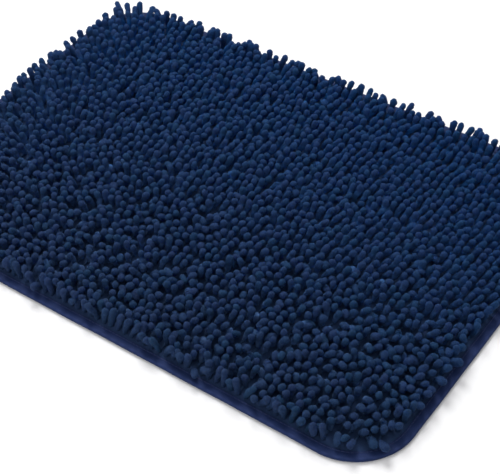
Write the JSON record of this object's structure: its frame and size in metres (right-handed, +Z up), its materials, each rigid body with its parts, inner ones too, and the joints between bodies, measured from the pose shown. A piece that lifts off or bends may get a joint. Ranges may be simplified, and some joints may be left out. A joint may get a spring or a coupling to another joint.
{
  "type": "bath mat",
  "caption": "Rectangular bath mat with rounded corners: long finger-like chenille pile on a woven base, a folded edge binding and a dotted anti-slip underside.",
  "frame": {"origin": "centre of the mat on the floor plane that its anti-slip dots stand on", "axes": "+X along the length, parallel to the long edges; +Y across the width, along the tuft rows; +Z up out of the pile"},
  "size_m": [0.61, 0.432, 0.022],
  "materials": {
    "chenille": "matte velvety microfibre chenille, navy blue",
    "binding_tape": "smooth matte woven tape, navy blue, slightly more violet than the pile",
    "base_cloth": "matte plain-woven ground cloth, dark navy",
    "sewing_thread": "matte twisted polyester sewing thread, navy blue",
    "latex": "matte cream latex coat, not seen from outside",
    "grip_rubber": "matte soft rubber, dark blue-grey"
  },
  "bodies": {
    "root": {"base_cloth": "base_cloth", "latex_coat": "latex", "grip_sheet": "grip_rubber", "edge_binding": "binding_tape", "needle_thread": "sewing_thread", "bobbin_thread": "sewing_thread", "chenille_rows_01": "chenille", "chenille_rows_02": "chenille", "chenille_rows_03": "chenille", "chenille_rows_04": "chenille", "chenille_rows_05": "chenille", "chenille_rows_06": "chenille", "chenille_rows_07": "chenille", "chenille_rows_08": "chenille", "chenille_rows_09": "chenille", "chenille_rows_10": "chenille", "chenille_rows_11": "chenille", "chenille_rows_12": "chenille", "chenille_rows_13": "chenille", "chenille_rows_14": "chenille", "chenille_rows_15": "chenille", "chenille_rows_16": "chenille", "chenille_rows_17": "chenille", "chenille_rows_18": "chenille", "chenille_rows_19": "chenille", "chenille_rows_20": "chenille", "chenille_rows_21": "chenille", "chenille_rows_22": "chenille", "chenille_rows_23": "chenille", "chenille_rows_24": "chenille", "chenille_rows_25": "chenille", "chenille_rows_26": "chenille", "chenille_rows_27": "chenille", "chenille_rows_28": "chenille", "chenille_rows_29": "chenille", "chenille_rows_30": "chenille", "chenille_rows_31": "chenille", "chenille_rows_32": "chenille", "chenille_rows_33": "chenille", "chenille_rows_34": "chenille", "chenille_rows_35": "chenille", "chenille_rows_36": "chenille", "chenille_rows_37": "chenille"}
  },
  "joints": []
}
